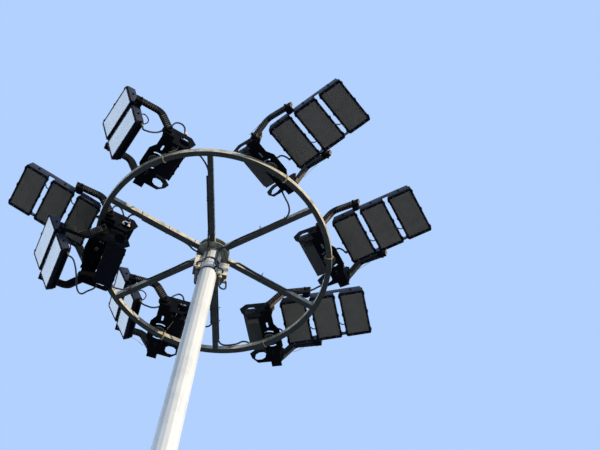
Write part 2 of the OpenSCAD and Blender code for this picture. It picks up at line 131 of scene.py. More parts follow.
def add(tree, kind, inputs=None, out=0, **settings):
    """Adds a node with its settings and links, and gives the output that is asked for.

    An input takes a value, a hex colour or another node's output."""
    node = tree.nodes.new("ShaderNode" + kind)
    for name, value in settings.items():
        setattr(node, name, value)
    for name, value in (inputs or {}).items():
        if isinstance(value, bpy.types.NodeSocket):
            tree.links.new(value, node.inputs[name])
        else:
            node.inputs[name].default_value = linear(value) if isinstance(value, str) else value
    return node.outputs[out] if node.outputs else None


def new_finish(name):
    """An empty material, its node tree and its object coordinates."""
    material = bpy.data.materials.new(name)
    material.use_nodes = True
    tree = material.node_tree
    tree.nodes.clear()
    return material, tree, add(tree, "TexCoord", out="Object")


def overlaid(tree, base, stain, pattern, start, full, share=1.0):
    """A colour with another over it, up to a share, where a pattern rises from start to full. In most uses
    it lays a stain; it also lays the painted shade on faces that look down and the painted highlights on the
    ribs.
    """
    amount = add(tree, "MapRange", {
        "Value": pattern, "From Min": start, "From Max": full, "To Max": share})
    return add(tree, "Mix", {FACTOR: amount, FIRST_COLOUR: base, SECOND_COLOUR: stain},
               MIXED_COLOUR, data_type="RGBA")


def painted_shade_below(tree, side, under):
    """One colour on faces that look up or sideways, and another, as painted shade, on those that look down.
    """
    normal = add(tree, "NewGeometry", out="Normal")
    height = add(tree, "SeparateXYZ", {"Vector": normal}, "Z")
    return overlaid(tree, side, under, height, -0.35, -0.85)


def coated(material, inputs):
    """A material that ends in a Principled shader with these inputs."""
    shader = add(material.node_tree, "BsdfPrincipled", inputs)
    add(material.node_tree, "OutputMaterial", {"Surface": shader})
    return material


def pale_galvanised():
    """Hot-dip galvanised mast steel: pale zinc patina, faint spangle, streaks washed downwards."""
    material, tree, where = new_finish("hot_dip_galvanised_steel")
    cells = add(tree, "TexVoronoi", {"Vector": where, "Scale": PER_METRE / 14}, "Color")
    spangle = add(tree, "SeparateColor", {"Color": cells}, "Red")
    drawn_down = add(tree, "Mapping", {"Vector": where, "Scale": (1, 1, 0.035)})
    streaks = add(tree, "TexNoise", {"Vector": drawn_down, "Scale": PER_METRE / 22, **EVEN})
    clouds = add(tree, "TexNoise", {"Vector": where, "Scale": PER_METRE / 420, **EVEN})
    zinc = overlaid(tree, "#f1f0ea", "#dedfda", spangle, 0, 1, 0.35)
    washed = overlaid(tree, zinc, "#c4c5bd", streaks, 0.48, 0.72, 0.25)
    return coated(material, {
        "Base Color": overlaid(tree, washed, "#a9aba4", clouds, 0.5, 0.75, 0.35),
        "Metallic": 0.15,
        "Roughness": add(tree, "MapRange", {"Value": spangle, "To Min": 0.42, "To Max": 0.6}),
        "Normal": add(tree, "Bump", {"Height": streaks, "Distance": 0.6 * MM, "Strength": 0.15}),
    })


def dull_galvanised():
    """Weathered galvanised tube: warm zinc on its sides, dark underneath as painted shade."""
    material, tree, where = new_finish("weathered_galvanised_steel")
    patches = add(tree, "TexNoise", {"Vector": where, "Scale": PER_METRE / 60, **EVEN})
    grit = add(tree, "TexNoise", {"Vector": where, "Scale": PER_METRE / 9, **BLUNT})
    side = overlaid(tree, "#ded6c0", "#9a9283", patches, 0.4, 0.7)
    # The undersides' dark colours are painted shade
    under = overlaid(tree, "#33342f", "#4a4b45", patches, 0.42, 0.72)
    return coated(material, {
        "Base Color": overlaid(tree, painted_shade_below(tree, side, under), "#8f8d80", grit, 0.66, 0.78, 0.35),
        "Metallic": 0.1,
        "Roughness": add(tree, "MapRange", {"Value": patches, **MOST, "To Min": 0.45, "To Max": 0.72}),
        "Specular IOR Level": 0.35,
        "Normal": add(tree, "Bump", {"Height": grit, "Distance": 0.4 * MM, "Strength": 0.3}),
    })


def hub_galvanised():
    """Galvanised hub discs: thick zinc gone grey-green, with bright flecks where it ran."""
    material, tree, where = new_finish("thick_galvanised_steel")
    patches = add(tree, "TexNoise", {"Vector": where, "Scale": PER_METRE / 55, **EVEN})
    flecks = add(tree, "TexNoise", {
        "Vector": where, "Scale": PER_METRE / 26, "Detail": 3.0, "Roughness": 0.6})
    base = overlaid(tree, "#5f6459", "#a3a595", patches, 0.4, 0.68)
    return coated(material, {
        "Base Color": overlaid(tree, base, "#d8cfae", flecks, 0.6, 0.7, 0.9),
        "Metallic": 0.2,
        "Roughness": add(tree, "MapRange", {"Value": patches, **MOST, "To Min": 0.4, "To Max": 0.65}),
        "Normal": add(tree, "Bump", {"Height": flecks, "Distance": 0.8 * MM, "Strength": 0.4}),
    })


def black_powder_coat():
    """Powder-coated steel plate: satin blue-black with orange peel and a little warm dust."""
    material, tree, where = new_finish("black_powder_coated_steel")
    peel = add(tree, "TexNoise", {"Vector": where, "Scale": PER_METRE / 2.5, **BLUNT})
    dust = add(tree, "TexNoise", {"Vector": where, "Scale": PER_METRE / 90, **RAGGED})
    return coated(material, {
        "Base Color": overlaid(tree, "#05060a", "#1d1915", dust, 0.55, 0.8, 0.45),
        "Roughness": add(tree, "MapRange", {"Value": dust, **UPPER, "To Min": 0.6, "To Max": 0.8}),
        "Specular IOR Level": 0.06,
        "Normal": add(tree, "Bump", {"Height": peel, "Distance": 0.12 * MM, "Strength": 0.3}),
    })


def cast_arm_coat():
    """Sand-cast aluminium arms under worn black paint: grainy, brown-grey where it thins.

    Real sand grain is under 1 mm, so it is drawn at 5 mm to show at all."""
    material, tree, where = new_finish("painted_cast_aluminium")
    sand = add(tree, "TexNoise", {"Vector": where, "Scale": PER_METRE / 5, **COARSE})
    wear = add(tree, "TexNoise", {
        "Vector": where, "Scale": PER_METRE / 48, "Detail": 6.0, "Roughness": 0.68})
    paint = overlaid(tree, "#0a0908", "#14110e", sand, 0.35, 0.7)
    return coated(material, {
        "Base Color": overlaid(tree, paint, "#453c32", wear, 0.62, 0.76, 0.5),
        "Roughness": add(tree, "MapRange", {"Value": wear, **UPPER, "To Min": 0.6, "To Max": 0.85}),
        "Specular IOR Level": 0.08,
        "Normal": add(tree, "Bump", {"Height": sand, "Distance": 0.5 * MM, "Strength": 0.4}),
    })


def black_anodised():
    """Anodised heat sinks: even, deep black with a cool sheen and drawn lines, wide enough to show."""
    material, tree, where = new_finish("black_anodised_aluminium")
    across = add(tree, "Mapping", {"Vector": where, "Scale": (1, 1, 8)})
    lines = add(tree, "TexNoise", {"Vector": across, "Scale": PER_METRE / 30, **COARSE})
    return coated(material, {
        "Base Color": overlaid(tree, "#090a10", "#13151f", lines, 0.4, 0.7),
        "Specular IOR Level": 0.08,
        "Roughness": add(tree, "MapRange", {"Value": lines, **MOST, "To Min": 0.5, "To Max": 0.68}),
        "Normal": add(tree, "Bump", {"Height": lines, "Distance": 0.15 * MM, "Strength": 0.2}),
    })


def grey_anodised():
    """Anodised extruded end rails: blue-grey metal, brushed along the rail in lines wide enough to show."""
    material, tree, where = new_finish("grey_anodised_aluminium")
    across = add(tree, "Mapping", {"Vector": where, "Scale": (1, 1, 12)})
    brush = add(tree, "TexNoise", {"Vector": across, "Scale": PER_METRE / 16, **COARSE})
    stain = add(tree, "TexNoise", {
        "Vector": where, "Scale": PER_METRE / 70, "Detail": 5.0, "Roughness": 0.55})
    metal = overlaid(tree, "#2d3140", "#3b3f4e", brush, 0.35, 0.65)
    return coated(material, {
        "Base Color": overlaid(tree, metal, "#222226", stain, 0.55, 0.75, 0.6),
        "Metallic": 0.1,
        "Specular IOR Level": 0.25,
        "Roughness": add(tree, "MapRange", {"Value": brush, **MOST, "To Min": 0.45, "To Max": 0.6}),
        "Normal": add(tree, "Bump", {"Height": brush, "Distance": 0.1 * MM, "Strength": 0.25}),
    })


def clear_cover():
    """Polycarbonate lens cover: clear from in front, a pale sheen where it is seen aslant."""
    material, tree, where = new_finish("clear_polycarbonate")
    slant = add(tree, "LayerWeight", {"Blend": 0.5}, "Facing")
    sheen = add(tree, "MapRange", {
        "Value": slant, "From Min": 0.34, "From Max": 0.6, "To Min": 0.02, "To Max": 0.74})
    haze = add(tree, "TexNoise", {"Vector": where, "Scale": PER_METRE / 160, **EVEN})
    blur = add(tree, "MapRange", {"Value": haze, **MOST, "To Min": 0.2, "To Max": 0.3})
    through = add(tree, "BsdfTransparent", {"Color": "#f4f3f1"})
    gloss = add(tree, "BsdfGlossy", {"Color": "#d9d7d1", "Roughness": blur})
    both = add(tree, "MixShader", {FACTOR: sheen, FIRST_SHADER: through, SECOND_SHADER: gloss})
    add(tree, "OutputMaterial", {"Surface": both})
    return material


def optic_plastic():
    """Moulded acrylic optics over dark boards: smoky brown-grey, softly shiny."""
    material, tree, where = new_finish("smoked_acrylic_optics")
    tone = add(tree, "TexNoise", {"Vector": where, "Scale": PER_METRE / 70, **COARSE})
    return coated(material, {
        "Base Color": overlaid(tree, "#9f988f", "#aaa399", tone, 0.35, 0.7),
        "Roughness": 0.5,
        "Specular IOR Level": 0.15,
    })


def cream_enamel():
    """Stove-enamelled junction boxes: warm cream with soiled patches, dark on faces that look down as
    painted shade.
    """
    material, tree, where = new_finish("cream_stove_enamel")
    soil = add(tree, "TexNoise", {"Vector": where, "Scale": PER_METRE / 40, **RAGGED})
    enamel = overlaid(tree, "#faf0d6", "#c4b28f", soil, 0.5, 0.8, 0.45)
    return coated(material, {
        "Base Color": painted_shade_below(tree, enamel, "#4b4434"),
        "Roughness": add(tree, "MapRange", {"Value": soil, **UPPER, "To Min": 0.3, "To Max": 0.5}),
        "Normal": add(tree, "Bump", {"Height": soil, "Distance": 0.2 * MM, "Strength": 0.2}),
    })


def small_finish(name, first, second, size_mm, roughness, metallic=0.0):
    """A small part's finish: two close colours in fine mottling and a little relief."""
    material, tree, where = new_finish(name)
    mottle = add(tree, "TexNoise", {"Vector": where, "Scale": PER_METRE / size_mm, **EVEN})
    return coated(material, {
        "Base Color": overlaid(tree, first, second, mottle, 0.35, 0.7),
        "Metallic": metallic,
        "Roughness": roughness,
        "Normal": add(tree, "Bump", {"Height": mottle, "Distance": 0.1 * MM, "Strength": 0.2}),
    })


ZINC = pale_galvanised()
DULL = dull_galvanised()
HUB_ZINC = hub_galvanised()
COAT = black_powder_coat()
CAST = cast_arm_coat()
SINK = black_anodised()
RAIL = grey_anodised()
COVER = clear_cover()
OPTICS = optic_plastic()
CREAM = cream_enamel()
# Extruded rubber: black and faintly dusty
RUBBER = small_finish("black_rubber", "#0c0c0d", "#1c1b1a", 12, 0.55)
# Blackened bolts: dark metal, brown where the black is worn
BLACK_BOLT = small_finish("blackened_steel", "#101010", "#24211d", 6, 0.42, 0.6)
# Bright small screws: warm grey metal
STAINLESS = small_finish("stainless_steel", "#a9a59a", "#8d897e", 10, 0.35, 1.0)
# Plated cable glands: dull brown-gold
BRASS = small_finish("nickel_brass", "#9a7d5a", "#6f5a42", 9, 0.45, 0.6)
# Painted sunlight on the arms' outward faces: rough, tan brown-grey
SUNLIT_ARM_TAN = small_finish("arm_painted_sunlight", "#86704f", "#55483a", 14, 0.7)
# Cast ribs: black paint, mottled pale as painted highlights on the ribs
HIGHLIT_RIB = small_finish("rib_paint_with_painted_highlights", "#14120f", "#a39c90", 11, 0.5)
# Enamelled driver boxes: dark warm grey in soft clouds
GEAR_GREY = small_finish("grey_enamelled_steel", "#3f3e39", "#34332f", 60, 0.5)
# Moulded nylon: warm cream, a little yellowed
CREAM_NYLON = small_finish("cream_nylon", "#efe2c2", "#d9c9a3", 8, 0.45)
# Stranded wire rope: pale straw with darker lays, drawn wide enough to show
WIRE = small_finish("galvanised_wire_rope", "#e8d3a8", "#b39a70", 9, 0.55, 0.1)


def block(bm, low, high):
    """A block between two corners, in millimetres."""
    verts = bmesh.ops.create_cube(bm, size=1.0)["verts"]
    low, high = Vector(low) * MM, Vector(high) * MM
    bmesh.ops.scale(bm, vec=high - low, verts=verts)
    bmesh.ops.translate(bm, vec=(low + high) / 2, verts=verts)
    return verts


def rod(bm, start, end, radius, sides=20, end_radius=None):
    """A round or hexagonal bar between two points, in millimetres."""
    start, end = Vector(start) * MM, Vector(end) * MM
    verts = bmesh.ops.create_cone(
        bm, cap_ends=True, segments=sides, radius1=radius * MM,
        radius2=(radius if end_radius is None else end_radius) * MM, depth=(end - start).length,
    )["verts"]
    turn = (end - start).to_track_quat("Z", "Y").to_matrix().to_4x4()
    bmesh.ops.transform(bm, matrix=Matrix.Translation((start + end) / 2) @ turn, verts=verts)
    return verts


def slab(bm, outline, thickness):
    """A plate: the points of its outline and the vector that thickens it, in millimetres."""
    face = bm.faces.new([bm.verts.new(Vector(p) * MM) for p in outline])
    made = bmesh.ops.extrude_face_region(bm, geom=[face])["geom"]
    verts = [v for v in made if isinstance(v, bmesh.types.BMVert)]
    bmesh.ops.translate(bm, vec=Vector(thickness) * MM, verts=verts)
    return verts


def bolt(bm, seat, direction, across):
    """A washer, a hexagon head and the end of its thread, seated on a point."""
    seat, way = Vector(seat), Vector(direction).normalized() * across
    washer, head, tip = (seat + way * share for share in (0.12, 0.62, 0.9))
    rod(bm, seat, washer, across * 0.66)
    rod(bm, washer, head, across * 0.5, 6)
    rod(bm, head, tip, across * 0.28, 12)


def meshed(name, bm):
    """A mesh made from a bmesh, which is used up."""
    bmesh.ops.recalc_face_normals(bm, faces=bm.faces)
    mesh = bpy.data.meshes.new(name)
    bm.to_mesh(mesh)
    bm.free()
    return mesh


def placed(name, data):
    """A new object in the scene that holds a mesh, a curve, a camera or a lamp."""
    piece = bpy.data.objects.new(name, data)
    bpy.context.scene.collection.objects.link(piece)
    return piece


def finished(name, bm, finishes, body, place=None, edge=0.0, replaces=(), smooth=35):
    """Makes a bmesh a piece of the pylon, in its place, riding on its body."""
    if place is not None:
        bmesh.ops.transform(bm, matrix=place, verts=bm.verts)
    mesh = meshed(name, bm)
    for finish in finishes if isinstance(finishes, list) else [finishes]:
        mesh.materials.append(finish)
    mesh.shade_smooth()
    mesh.set_sharp_from_angle(angle=math.radians(smooth))
    piece = placed(name, mesh)
    if edge:
        bevel = piece.modifiers.new("eased_edges", "BEVEL")
        bevel.width = edge * MM
        bevel.segments = 2
        bevel.limit_method = "ANGLE"
        bevel.angle_limit = math.radians(30)
        bevel.harden_normals = True
    if replaces:
        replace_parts(piece, *replaces)
    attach(piece, body)
    return piece


def copied(node):
    """A CAD node's mesh with its doubles merged and its flat faces joined."""
    bm = bmesh.new()
    bm.from_mesh(NODES[node].data)
    bmesh.ops.remove_doubles(bm, verts=bm.verts, dist=0.01 * MM)
    bmesh.ops.dissolve_limit(bm, angle_limit=math.radians(0.5), verts=bm.verts, edges=bm.edges)
    return bm


def coat(node, finish):
    """Gives a CAD node its finish."""
    slots = NODES[node].data.materials
    slots.clear()
    slots.append(finish)


def cable(name, points, diameter, finish, bodies, sides=4):
    """A round cable on a smooth curve through points in metres, or one cable for each list of them.

    One body carries it; given two bodies, it is left where it is drawn and rides on neither."""
    curve = bpy.data.curves.new(name, "CURVE")
    curve.dimensions = "3D"
    curve.resolution_u = 6
    curve.bevel_depth = diameter * MM / 2
    curve.bevel_resolution = sides
    curve.use_fill_caps = True
    for run in points if isinstance(points[0], list) else [points]:
        spline = curve.splines.new("BEZIER")
        spline.bezier_points.add(len(run) - 1)
        for knot, point in zip(spline.bezier_points, run):
            knot.co = point
            knot.handle_left_type = "AUTO"
            knot.handle_right_type = "AUTO"
    drawn = placed(name + "_line", curve)
    bpy.context.view_layer.update()
    mesh = bpy.data.meshes.new_from_object(drawn.evaluated_get(bpy.context.evaluated_depsgraph_get()))
    bpy.data.objects.remove(drawn)
    mesh.name = name
    mesh.materials.clear()
    mesh.materials.append(finish)
    mesh.shade_smooth()
    piece = placed(name, mesh)
    if len(bodies) == 2:
        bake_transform(piece)
    else:
        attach(piece, bodies[0])
    return piece


class Light:
    """Where one floodlight's bracket and head stand, read from its joints and its lens.

    The bracket's frame lies at its centre bolt: u outwards, t along the driver box and z away from
    the ring. The head's frame lies at its pivot: s from module to module, t along them and n out of
    their backs."""

    def __init__(self, number):
        self.number = number
        self.yoke = f"yoke_{number}"
        self.head = f"head_{number}"
        pan, tilt = JOINTS[f"pan_{number}"], JOINTS[f"tilt_{number}"]
        foot, pivot = Vector(pan["pos_m"]), Vector(tilt["pos_m"])
        # 1 where the floodlight stands on the ring, -1 where it hangs under it
        self.side = 1 if pivot.z > foot.z else -1
        aim = math.atan2(tilt["axis"][0], -tilt["axis"][1])
        outward = Vector((math.cos(aim), math.sin(aim), 0))
        lens = NODES[f"lenses_{number}"].data
        down = [p for p in lens.polygons if p.normal.z < 0]
        normal = max(down, key=lambda p: p.area).normal
        # The head's tilt, from the way its lens faces
        turn = math.atan2(normal.dot(outward), -normal.z)
        aimed = Matrix.Rotation(aim, 4, "Z")
        flip = Matrix.Diagonal((1, 1, self.side, 1))
        self.yoke_place = Matrix.Translation(foot) @ aimed @ flip
        self.head_place = Matrix.Translation(pivot) @ aimed @ Matrix.Rotation(-turn, 4, "Y")
        along = self.head_place.inverted()
        reach = max((along @ v.co).x for v in lens.vertices)
        self.modules = 1 + round(reach / (PITCH * MM))

    def at_yoke(self, u, t, z):
        """A point of the bracket's own frame, in millimetres, as a place in metres."""
        return self.yoke_place @ (Vector((u, t, z)) * MM)

    def at_head(self, s, t, n):
        """A point of the head's own frame, in millimetres, as a place in metres."""
        return self.head_place @ (Vector((s, t, n)) * MM)

    def on_head(self, name, bm, finishes, **more):
        """A piece drawn in the head's frame, which rides on the head."""
        finished(f"{name}_{self.number}", bm, finishes, self.head, self.head_place, **more)

    def on_yoke(self, name, bm, finishes, **more):
        """A piece drawn in the bracket's frame, which rides on the bracket."""
        finished(f"{name}_{self.number}", bm, finishes, self.yoke, self.yoke_place, **more)

    def middles(self):
        """The middle of each module along the head, in millimetres."""
        return [(m - 0.5) * PITCH for m in range(self.modules)]


RING_Z = JOINTS["pan_1"]["pos_m"][2]


def at_ring(angle, out, rise):
    """A place beside the ring's middle line: its angle, then outwards and up in millimetres."""
    turn = math.radians(angle)
    reach = (RING_R + out) * MM
    return Vector((reach * math.cos(turn), reach * math.sin(turn), RING_Z + rise * MM))


def at_hub(x, y, z):
    """A place measured from the middle of the ring, in millimetres."""
    return Vector((x * MM, y * MM, RING_Z + z * MM))


def module_frame(bm, middle):
    """One module's front frame, with the recess that holds its optics."""
    base = -LENS_DROP
    verts = block(bm, (middle - MODULE_W / 2, -MODULE_L / 2, base),
                  (middle + MODULE_W / 2, MODULE_L / 2, base + FRAME_H))
    uprights = [e for e in {e for v in verts for e in v.link_edges}
                if abs(e.verts[0].co.z - e.verts[1].co.z) > 0.5 * FRAME_H * MM]
    bmesh.ops.bevel(bm, geom=uprights, offset=9 * MM, segments=4, affect="EDGES", profile=0.5,
                    material=-1)
    front = min((f for f in bm.faces if abs(f.calc_center_median().x - middle * MM) < MM),
                key=lambda f: f.calc_center_median().z)
    border = (MODULE_W - LENS_W) / 2
    bmesh.ops.inset_individual(bm, faces=[front], thickness=border * MM, use_even_offset=True)
    bmesh.ops.inset_individual(bm, faces=[front], thickness=0.5 * MM, depth=-RECESS * MM)


def heat_sink(bm, middle):
    """The finned casting behind a frame: its core, its cross fins and a raised spine."""
    setback, core_h, half_spine = 10, 16, 34
    fin_pitch, fin_t, chamfer = 12.5, 3.2, 14
    half_w = MODULE_W / 2 - setback
    half_l = MODULE_L / 2 - setback
    foot = -LENS_DROP + FRAME_H
    top = -LENS_DROP + MODULE_H
    block(bm, (middle - half_w, -half_l, foot), (middle + half_w, half_l, foot + core_h))
    block(bm, (middle - half_spine, -half_l, foot + core_h - 2), (middle + half_spine, half_l, top - 8))
    fin_foot = foot + core_h - 4
    count = int((2 * half_l - fin_t) / fin_pitch)
    first = -count * fin_pitch / 2
    for i in range(count + 1):
        t = first + i * fin_pitch - fin_t / 2
        slab(bm, [(middle - half_w, t, fin_foot), (middle - half_w, t, top - chamfer),
                  (middle - half_w + chamfer, t, top), (middle + half_w - chamfer, t, top),
                  (middle + half_w, t, top - chamfer), (middle + half_w, t, fin_foot)],
             (0, fin_t, 0))


def clips(bm, middle):
    """The spring clips that hold the lens frame, three on each long side."""
    base, half_clip, proud = -LENS_DROP, 10, 5
    for side in (-1, 1):
        edge = middle + side * MODULE_W / 2
        for t in (-203, 0, 203):
            low, high = sorted((edge - side * 6, edge + side * proud))
            block(bm, (low, t - half_clip, base - 3), (high, t + half_clip, base + FRAME_H + 6))
            rod(bm, (edge + side * proud, t, base + 12), (edge + side * (proud + 3), t, base + 12), 5, 10)


def stamped(mesh, offsets):
    """A bmesh with a copy of a mesh at each offset, in millimetres."""
    bm = bmesh.new()
    for offset in offsets:
        copy = mesh.copy()
        copy.transform(Matrix.Translation(Vector(offset) * MM))
        bm.from_mesh(copy)
        bpy.data.meshes.remove(copy)
    return bm


def along_head(light):
    """The offset of each module from the head's own origin."""
    return [(middle, 0, 0) for middle in light.middles()]


def housing_template():
    """One module: its frame, its heat sink and its clips."""
    bm = bmesh.new()
    module_frame(bm, 0)
    heat_sink(bm, 0)
    clips(bm, 0)
    return meshed("module_housing", bm)


def screw_template():
    """The small screws round one lens frame."""
    bm = bmesh.new()
    inset, head_r, sides = 8, 4, 10
    seat = -LENS_DROP
    front = seat - 2
    for side in (-1, 1):
        s_edge = side * (MODULE_W / 2 - inset)
        t_edge = side * (MODULE_L / 2 - inset)
        for t in (-150, -75, 75, 150):
            rod(bm, (s_edge, t, seat), (s_edge, t, front), head_r, sides)
        for s in (-60, 60):
            rod(bm, (s, t_edge, seat), (s, t_edge, front), head_r, sides)
    return meshed("module_screws", bm)


def optics_template():
    """Rows of small six-sided domes on a board, deep in one lens frame."""
    board = -LENS_DROP + RECESS - 1
    pitch, rows, columns, sides = 16, 12, 27, 6
    foot, shoulder, crown = board - 1, board - 1.9, board - 2.8
    dome = bmesh.new()
    rod(dome, (0, 0, foot), (0, 0, shoulder), 7.4, sides, 6.8)
    rod(dome, (0, 0, shoulder), (0, 0, crown), 6.8, sides, 4)
    dome = meshed("optic_dome", dome)
    places = [((row - (rows - 1) / 2) * pitch, (column - (columns - 1) / 2) * pitch, 0)
              for row in range(rows) for column in range(columns)]
    bm = stamped(dome, places)
    block(bm, (-LENS_W / 2, -LENS_L / 2, board - 1), (LENS_W / 2, LENS_L / 2, board + 1))
    return meshed("module_optics", bm)


# Cable and wire diameters in millimetres
CABLE_D = 16
JUMPER_D = 10
END_LOOP_D = 11
SPARE_LEAD_D = 9
SAFETY_WIRE_D = 6
ARM_WIRE_D = 4

# Routes in millimetres. A head lead starts at the head, in the head's frame, then goes on in the
# bracket's frame: outwards, along the box and up. Heads not listed have the short lead
LEVEL_LEAD = (
    [(-259, 118, -20)],
    [(100, 100, 240), (90, 68, 237), (60, 32, 238), (32, 28, 235), (0, 24, 228), (-66, 22, 225)])
HEAD_LEADS = {
    1: ([(-259, 230, 0), (-300, 230, 0)],
        [(236, 233, 28), (214, 238, 24), (164, 245, 35), (100, 245, 98), (62, 245, 174), (20, 245, 262),
         (-9, 245, 335), (-31, 245, 394), (-58, 245, 420), (-99, 245, 424), (-136, 245, 331),
         (-139, 238, 262), (-138, 219, 228)]),
    2: ([(-259, 118, -20)],
        [(90, 150, 262), (50, 190, 250), (20, 230, 262), (7, 245, 341), (-11, 245, 383),
         (-39, 245, 396), (-76, 245, 363), (-100, 245, 311), (-112, 243, 284), (-120, 238, 240),
         (-124, 236, 205)]),
    3: ([(-259, 210, 0), (-300, 210, 0)],
        [(198, 215, 645), (152, 190, 700), (115, 130, 735), (59, -20, 727), (15, -100, 670),
         (-52, -180, 475), (-109, -250, 279), (-112, -240, 262), (-114, -219, 232)]),
    4: ([(-259, 232, 0), (-300, 232, 0)],
        [(205, 240, 52), (172, 245, 37), (123, 245, 35), (70, 245, 69), (25, 245, 140),
         (-8, 245, 215), (-26, 245, 268), (-64, 245, 339), (-100, 245, 365), (-148, 245, 294),
         (-150, 238, 250), (-148, 219, 228)]),
}
# The floodlight whose lead has a coupler, then the coupler's two ends in the bracket's frame
LEAD_COUPLER = (1, (-150, 245, 285), (-150, 245, 330))
# The floodlight with a spare lead clipped to its bracket, then its route in the bracket's frame
SPARE_LEAD = (6, [(30, 60, 150), (57, 124, 140), (55, 171, 140), (62, 221, 145), (40, 262, 150),
                  (21, 282, 140)])
# The floodlight with a gland shelf, then in the bracket's frame two corners of the shelf and the
# seats of its glands
GLAND_SHELF = (2, (-198, 153, 141), (-108, 252, 146), [(-124, 236, 146), (-181, 236, 146)])
# The loop over a small head's end rail, in the head's frame; the hung one has less room to rise
END_LOOP = [(-112, 236, 30), (-118, 244, 48), (-150, 246, 70), (-188, 246, 75), (-225, 246, 60),
            (-252, 244, 38), (-258, 236, 22)]
HUNG_LOOP_RISE = 0.43
# Each feed loop: places from the middle of the ring, then in the bracket's frame
FEED_LOOPS = {
    1: ([(-152, -821, -13), (-168, -869, -10), (-191, -912, 0), (-227, -953, 15), (-274, -984, 35)],
        [(-208, 130, 130)]),
    2: ([(-684, -257, -13), (-717, -259, -13), (-754, -256, -10), (-792, -243, 0), (-814, -212, 15),
         (-826, -184, 30)], [(-181, 236, 230), (-181, 236, 205)]),
    3: ([(-676, 548, 33), (-693, 546, 26), (-700, 543, 8), (-701, 544, -10), (-712, 549, -22),
         (-747, 555, -45), (-802, 537, -80), (-860, 509, -110)], [(-248, -200, 225)]),
    4: ([(106, 754, -13), (97, 779, -13), (81, 803, -10), (59, 822, 0), (35, 831, 10)],
        [(-208, 130, 130)]),
    5: ([(562, -503, -13), (594, -536, -13), (613, -577, -8), (613, -624, 5), (591, -672, 25),
         (566, -697, 45), (541, -719, 70)], [(-120, 219, 220)]),
    6: ([(714, 231, -13), (808, 235, 0), (881, 230, 10), (960, 200, 20), (1009, 165, 35),
         (1042, 144, 50)], [(-150, 219, 225)]),
    7: ([(184, 927, -13), (193, 943, -13), (211, 970, -10), (242, 991, 0), (279, 993, 10),
         (315, 988, 20), (369, 973, 35), (420, 944, 50)], [(-208, 120, 130)]),
}
# Each feed cable: its spoke, its junction box, the lift of its entry, then its way in along the spoke
# as the distance from the pole's axis, the distance beside the spoke's middle and the height
FEED_RUNS = [
    (0, RIGHT_BOX, 0, [(750, -33, -13), (640, -33, -14), (500, -33, -13), (450, -33, -11), (396, -33, -4),
                       (342, -33, 1), (288, -33, 6), (250, -33, 4)]),
    (1, RIGHT_BOX, 0, [(945, -33, -13), (700, -33, -13), (450, -33, -13), (250, -33, -14)]),
    (1, LEFT_BOX, 0, [(761, 33, -13), (500, 33, -13), (250, 33, -14)]),
    (2, LEFT_BOX, 50, [(870, 10, 33), (800, 0, 33), (750, 10, 33), (720, 29, 20), (695, 33, -2),
                       (655, 33, -11), (560, 33, -13), (450, 33, -13), (360, 33, -9), (290, 33, -3),
                       (250, 33, -6)]),
    (3, LEFT_BOX, 0, [(730, -33, -13), (500, -33, -13), (250, -33, -14)]),
    (4, LEFT_BOX, 0, [(835, -33, -13), (600, -33, -13), (400, -33, -13), (250, -33, -14)]),
    (5, RIGHT_BOX, 0, [(754, -33, -15), (634, -33, -17), (539, -33, -18), (442, -33, -11), (346, -33, -8),
                       (275, -33, -11), (250, -33, -14)]),
]
# How every feed cable dips under the hub and turns down the pole: distance from the axis, and height
HUB_DIP = [(225, -24), (198, -43), (170, -50), (115, -51), (97, -59), (93, -80)]
# How far above a junction box's foot a feed cable enters it from the front or the back
ENTRY_RISE = 25

# Each safety wire: the ring angle where it is wound, its turns, then its way up to the box's ear in
# the bracket's frame
SAFETY_WIRES = {
    1: (236.8, 2, [(-116, 219, 40), (-111, 222, 120), (-101, 217, 200)]),
    4: (107.5, 2, [(-57, 16, 30), (-74, 48, 60), (-108, 120, 110), (-118, 179, 150), (-124, 206, 200)]),
    5: (299.0, 2, [(-112, 248, 202)]),
    6: (348.5, 1, [(-105, 236, 230)]),
    7: (54.3, 1, [(-112, 248, 202)]),
}
# Each arm wire: the side of its arm, then its places outwards and up on the arm's outer face
ARM_WIRES = {
    4: [(-1, [(108, 192), (142, 216), (199, 257), (250, 267), (300, 308)])],
    5: [(-1, [(-31, 200), (25, 247), (86, 297), (132, 335)]),
        (1, [(108, 205), (152, 240), (193, 273), (246, 312)])],
    6: [(1, [(128, 254), (154, 270), (196, 290), (237, 316)])],
    7: [(1, [(135, 253), (182, 271), (236, 313)])],
}
# Each tie: its spoke, its distance from the pole's axis, and whether a cable lies on either side
TIES = [(0, 499, 1, 0), (1, 611, 1, 1), (1, 757, 1, 1), (1, 973, 0, 0), (3, 201, 1, 0), (3, 472, 1, 0),
        (3, 754, 0, 0), (4, 214, 1, 0), (4, 579, 1, 0), (4, 894, 0, 0), (5, 530, 1, 0), (5, 782, 0, 0)]
# Under and beside the junction boxes, as places from the middle of the ring
JUNCTION_GLANDS = [(-107, -40, -335), (-100, 14, -335), (118, -27, -385), (163, 10, -385)]
HUB_CABLES = {
    "right_drip_loop": [(118, -27, -385), (118, -27, -469), (122, -24, -530), (145, -14, -555),
                        (174, -4, -545), (183, 4, -464), (168, 8, -395), (163, 10, -385)],
    "left_drip_loop": [(-107, -40, -335), (-108, -40, -370), (-104, -38, -460), (-100, -32, -545),
                       (-94, -15, -558), (-90, 5, -510), (-93, 14, -430), (-100, 14, -335)],
    "pole_front_cable": [(5, -86, -201), (35, -78, -205), (63, -58, -216), (64, -56, -263), (45, -73, -345)],
}

# Latches on the driver boxes that show them, as places along the box; the others have a plain edge
LATCHES = dict.fromkeys((1, 3, 4), (-139, -45, 72, 165))
# Floodlights with a grey driver box; on their arms the painted sunlight reaches a little further round the
# ends
GREY_BOXES = (5, 6, 7)
SUNLIT_FROM, SUNLIT_FROM_ON_GREY = 0.9, 0.8

HOUSING = housing_template()
SCREWS = screw_template()
OPTIC_BOARD = optics_template()


